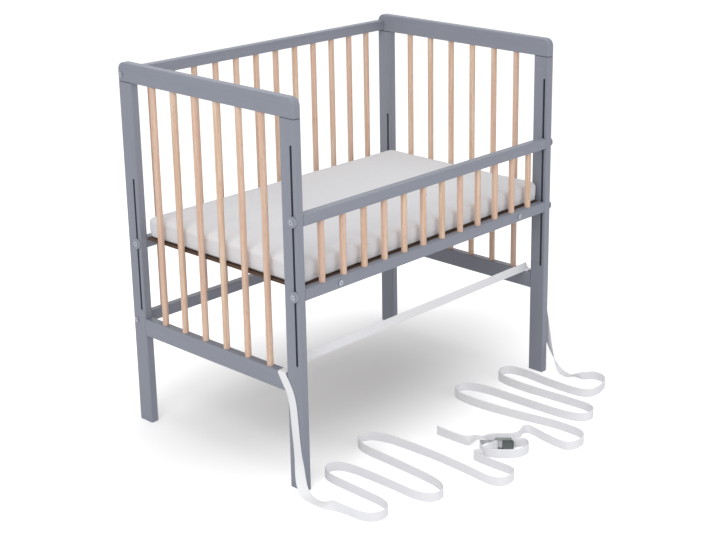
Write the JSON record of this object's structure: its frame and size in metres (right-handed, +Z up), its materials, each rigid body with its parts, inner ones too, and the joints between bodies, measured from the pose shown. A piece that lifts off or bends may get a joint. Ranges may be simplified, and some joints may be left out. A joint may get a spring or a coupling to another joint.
{
  "type": "bedside sleeper crib",
  "caption": "Barred wooden crib that stands beside an adult bed, with a high back panel, a low front panel, a height-adjustable mattress deck and a webbing tie strap with a cam buckle.",
  "frame": {"origin": "on the floor, at the middle of the crib's footprint", "axes": "+X to the right along the crib as seen from its low front, +Y from the front to the high back panel, +Z up"},
  "size_m": [1.0241, 0.9837, 0.96],
  "materials": {
    "grey_paint": "grey satin paint on smooth wood",
    "beech": "clear matt lacquer on beech",
    "brown_board": "bare dense fibreboard",
    "mattress_cover": "plain woven cotton cover",
    "grey_plastic": "moulded, fine satin",
    "bright_steel": "zinc plated",
    "white_webbing": "flat woven webbing",
    "dark_steel": "black coated steel"
  },
  "bodies": {
    "frame": {"left_front_post": "grey_paint", "right_front_post": "grey_paint", "left_back_post": "grey_paint", "right_back_post": "grey_paint", "left_top_rail": "grey_paint", "right_top_rail": "grey_paint", "left_bottom_rail": "grey_paint", "right_bottom_rail": "grey_paint", "back_top_rail": "grey_paint", "back_bottom_rail": "grey_paint", "left_end_bars": "beech", "right_end_bars": "beech", "back_bars": "beech", "frame_dowels": "beech", "back_panel_bolts": "bright_steel", "back_panel_nuts": "bright_steel", "strap_cross": "white_webbing", "strap_left_hang": "white_webbing", "strap_right_hang": "white_webbing", "strap_left_floor": "white_webbing", "strap_right_floor": "white_webbing", "strap_loop": "white_webbing", "strap_tail": "white_webbing", "strap_sewn_end": "white_webbing", "buckle_frame": "dark_steel", "buckle_pin": "dark_steel"},
    "deck": {"front_top_rail": "grey_paint", "front_bottom_rail": "grey_paint", "front_bars": "beech", "deck_rear_rail": "grey_paint", "deck_cross_rails": "beech", "base_board": "brown_board", "board_screws": "bright_steel", "mattress": "mattress_cover", "clamp_washers": "grey_plastic", "clamp_bolts": "bright_steel", "clamp_nuts": "bright_steel", "cross_rail_bolts": "bright_steel", "cross_rail_nuts": "bright_steel"},
    "cam_lever": {"buckle_lever": "dark_steel"}
  },
  "joints": [
    {"name": "deck_slide", "type": "slide", "parent": "frame", "child": "deck", "axis": [0, 0, 1], "range_m": [-0.158, 0.165]},
    {"name": "cam_lever_hinge", "type": "hinge", "parent": "frame", "child": "cam_lever", "pos_m": [0.00646, -0.53299, 0.015], "axis": [0, 0, -1], "range_deg": [0, 70], "stiffness_Nm_per_rad": 0.02, "springref_deg": -11.46}
  ]
}
